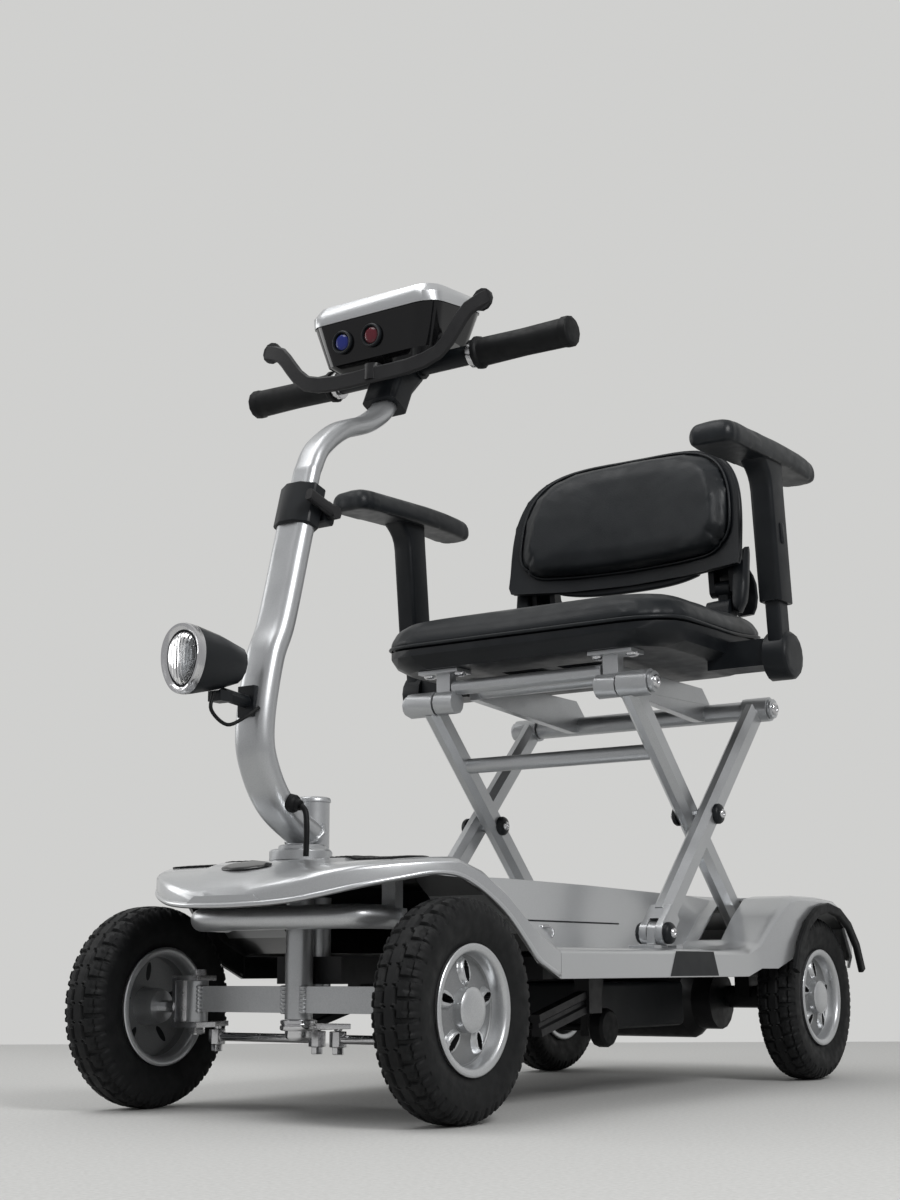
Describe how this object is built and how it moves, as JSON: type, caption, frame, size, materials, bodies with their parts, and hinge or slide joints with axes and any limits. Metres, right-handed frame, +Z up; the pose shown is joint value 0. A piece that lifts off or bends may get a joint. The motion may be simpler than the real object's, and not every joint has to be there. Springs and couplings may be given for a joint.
{
  "type": "folding mobility scooter",
  "caption": "Folding electric mobility scooter with a scissor-leg seat, telescopic tiller, linked front steering, flip-up armrests and a fold-down backrest.",
  "frame": {"origin": "middle of the bounding box in X and Y, on the ground under the tyres", "axes": "+X to the rider's left, -Y the way it drives, +Z up"},
  "size_m": [0.5786, 1.0652, 0.872],
  "materials": {
    "silver_paint": "metallic silver paint",
    "silver_cover": "silver painted moulding",
    "alloy": "cast and painted",
    "black_steel": "black powder coat",
    "black_plastic": "fine grain",
    "gloss_black": "polished",
    "rubber": "matt rubber",
    "tyre": "block tread",
    "vinyl": "black upholstery vinyl",
    "bright_steel": "plated",
    "lens": "clear ribbed",
    "blue_button": "polished",
    "red_button": "polished"
  },
  "bodies": {
    "chassis": {"chassis_frame": "black_steel", "front_axle": "silver_paint", "front_cover": "silver_cover", "rear_cover": "silver_cover", "foot_mat_l": "rubber", "foot_mat_r": "rubber", "nose_badge": "gloss_black", "arch_trim_l": "rubber", "arch_trim_r": "rubber", "front_bumper": "silver_paint", "battery_box": "black_plastic", "transaxle": "black_steel", "leg_foot_l": "silver_paint", "leg_foot_r": "silver_paint"},
    "steering": {"steering_shaft": "bright_steel", "tiller_lower": "silver_paint", "collar": "black_plastic", "headlight_housing": "black_plastic", "headlight_lens": "lens", "headlight_lead": "rubber", "tiller_cable": "rubber"},
    "collar_lever": {"collar_lever": "black_steel"},
    "handlebar": {"tiller_upper": "silver_paint", "stem_clamp": "black_plastic", "handlebar": "bright_steel", "grip_l": "rubber", "grip_r": "rubber", "console_base": "gloss_black", "console_cover": "silver_cover"},
    "throttle": {"throttle_paddle": "black_steel"},
    "blue_button": {"button_blue": "blue_button"},
    "red_button": {"button_red": "red_button"},
    "outer_legs": {"outer_leg_l": "silver_paint", "outer_leg_r": "silver_paint"},
    "inner_legs": {"inner_legs": "silver_paint"},
    "seat": {"seat_brackets": "silver_paint", "seat_shell": "black_plastic", "seat_cushion": "vinyl"},
    "seat_slider": {"seat_slider": "silver_paint"},
    "backrest": {"backrest_shell": "black_plastic", "backrest_pad": "vinyl"},
    "transit_wheels": {"transit_wheels": "rubber"},
    "knuckle_l": {"knuckle_l": "bright_steel"},
    "tie_rod_l": {"tie_rod_l": "bright_steel"},
    "front_wheel_l": {"front_tyre_l": "tyre", "front_rim_l": "alloy"},
    "rear_wheel_l": {"rear_tyre_l": "tyre", "rear_rim_l": "alloy"},
    "arm_l": {"arm_post_l": "black_plastic"},
    "arm_top_l": {"arm_sleeve_l": "black_plastic", "arm_pad_l": "vinyl"},
    "knuckle_r": {"knuckle_r": "bright_steel"},
    "tie_rod_r": {"tie_rod_r": "bright_steel"},
    "front_wheel_r": {"front_tyre_r": "tyre", "front_rim_r": "alloy"},
    "rear_wheel_r": {"rear_tyre_r": "tyre", "rear_rim_r": "alloy"},
    "arm_r": {"arm_post_r": "black_plastic"},
    "arm_top_r": {"arm_sleeve_r": "black_plastic", "arm_pad_r": "vinyl"}
  },
  "joints": [
    {"name": "steering_turn", "type": "hinge", "parent": "chassis", "child": "steering", "pos_m": [0, -0.3505, 0.26], "axis": [0, 0, 1], "range_deg": [-35, 35], "deforming": ["tiller_cable"]},
    {"name": "kingpin_l", "type": "hinge", "parent": "chassis", "child": "knuckle_l", "pos_m": [0.131, -0.3505, 0.105], "axis": [0, 0, 1], "range_deg": [-36, 36]},
    {"name": "tie_rod_swing_l", "type": "hinge", "parent": "steering", "child": "tie_rod_l", "pos_m": [0.013, -0.3055, 0.069], "axis": [0, 0, 1], "range_deg": [-36, 36]},
    {"name": "front_wheel_spin_l", "type": "hinge", "parent": "knuckle_l", "child": "front_wheel_l", "pos_m": [0.1877, -0.3605, 0.1], "axis": [1, 0, 0], "continuous": true},
    {"name": "rear_wheel_spin_l", "type": "hinge", "parent": "chassis", "child": "rear_wheel_l", "pos_m": [0.1877, 0.4221, 0.1], "axis": [1, 0, 0], "continuous": true},
    {"name": "arm_flip_l", "type": "hinge", "parent": "seat", "child": "arm_l", "pos_m": [0.264, 0.2255, 0.499], "axis": [1, 0, 0], "range_deg": [-88, 0]},
    {"name": "arm_height_l", "type": "slide", "parent": "arm_l", "child": "arm_top_l", "axis": [0, -0.0995, 0.995], "range_m": [0, 0.05]},
    {"name": "kingpin_r", "type": "hinge", "parent": "chassis", "child": "knuckle_r", "pos_m": [-0.131, -0.3505, 0.105], "axis": [0, 0, 1], "range_deg": [-36, 36]},
    {"name": "tie_rod_swing_r", "type": "hinge", "parent": "steering", "child": "tie_rod_r", "pos_m": [-0.013, -0.3055, 0.069], "axis": [0, 0, 1], "range_deg": [-36, 36]},
    {"name": "front_wheel_spin_r", "type": "hinge", "parent": "knuckle_r", "child": "front_wheel_r", "pos_m": [-0.1877, -0.3605, 0.1], "axis": [1, 0, 0], "continuous": true},
    {"name": "rear_wheel_spin_r", "type": "hinge", "parent": "chassis", "child": "rear_wheel_r", "pos_m": [-0.1877, 0.4221, 0.1], "axis": [1, 0, 0], "continuous": true},
    {"name": "arm_flip_r", "type": "hinge", "parent": "seat", "child": "arm_r", "pos_m": [-0.264, 0.2255, 0.499], "axis": [1, 0, 0], "range_deg": [-88, 0]},
    {"name": "arm_height_r", "type": "slide", "parent": "arm_r", "child": "arm_top_r", "axis": [0, -0.0995, 0.995], "range_m": [0, 0.05]},
    {"name": "tiller_height", "type": "slide", "parent": "steering", "child": "handlebar", "axis": [0, 0.2629, 0.9648], "range_m": [0, 0.08]},
    {"name": "collar_lever_turn", "type": "hinge", "parent": "steering", "child": "collar_lever", "pos_m": [0.026, -0.34275, 0.5885], "axis": [1, 0, 0], "range_deg": [-80, 0]},
    {"name": "throttle_turn", "type": "hinge", "parent": "handlebar", "child": "throttle", "pos_m": [0, -0.2375, 0.775], "axis": [0, 0, 1], "range_deg": [-12, 12], "stiffness_Nm_per_rad": 1.5},
    {"name": "blue_press", "type": "slide", "parent": "handlebar", "child": "blue_button", "axis": [0, 0.995, 0.0995], "range_m": [0, 0.003], "stiffness_N_per_m": 400},
    {"name": "red_press", "type": "slide", "parent": "handlebar", "child": "red_button", "axis": [0, 0.995, 0.0995], "range_m": [0, 0.003], "stiffness_N_per_m": 400},
    {"name": "seat_fold", "type": "hinge", "parent": "chassis", "child": "outer_legs", "pos_m": [0, 0.0695, 0.174], "axis": [1, 0, 0], "range_deg": [-29, 0]},
    {"name": "inner_leg_turn", "type": "hinge", "parent": "outer_legs", "child": "inner_legs", "pos_m": [0, 0.2105, 0.3155], "axis": [1, 0, 0], "range_deg": [-1, 59]},
    {"name": "seat_level", "type": "hinge", "parent": "inner_legs", "child": "seat", "pos_m": [0, 0.0695, 0.457], "axis": [1, 0, 0], "range_deg": [-30, 1]},
    {"name": "slider_level", "type": "hinge", "parent": "outer_legs", "child": "seat_slider", "pos_m": [0, 0.3515, 0.457], "axis": [1, 0, 0], "range_deg": [-1, 30]},
    {"name": "backrest_fold", "type": "hinge", "parent": "seat", "child": "backrest", "pos_m": [0, 0.3455, 0.618], "axis": [1, 0, 0], "range_deg": [0, 70]},
    {"name": "transit_spin", "type": "hinge", "parent": "chassis", "child": "transit_wheels", "pos_m": [0, 0.0425, 0.072], "axis": [1, 0, 0], "continuous": true}
  ],
  "couplings": [
    {"joint": "kingpin_l", "follows": "steering_turn", "ratio": 1},
    {"joint": "tie_rod_swing_l", "follows": "steering_turn", "ratio": -1},
    {"joint": "kingpin_r", "follows": "steering_turn", "ratio": 1},
    {"joint": "tie_rod_swing_r", "follows": "steering_turn", "ratio": -1},
    {"joint": "inner_leg_turn", "follows": "seat_fold", "ratio": -2},
    {"joint": "seat_level", "follows": "seat_fold", "ratio": 1},
    {"joint": "slider_level", "follows": "seat_fold", "ratio": -1}
  ]
}
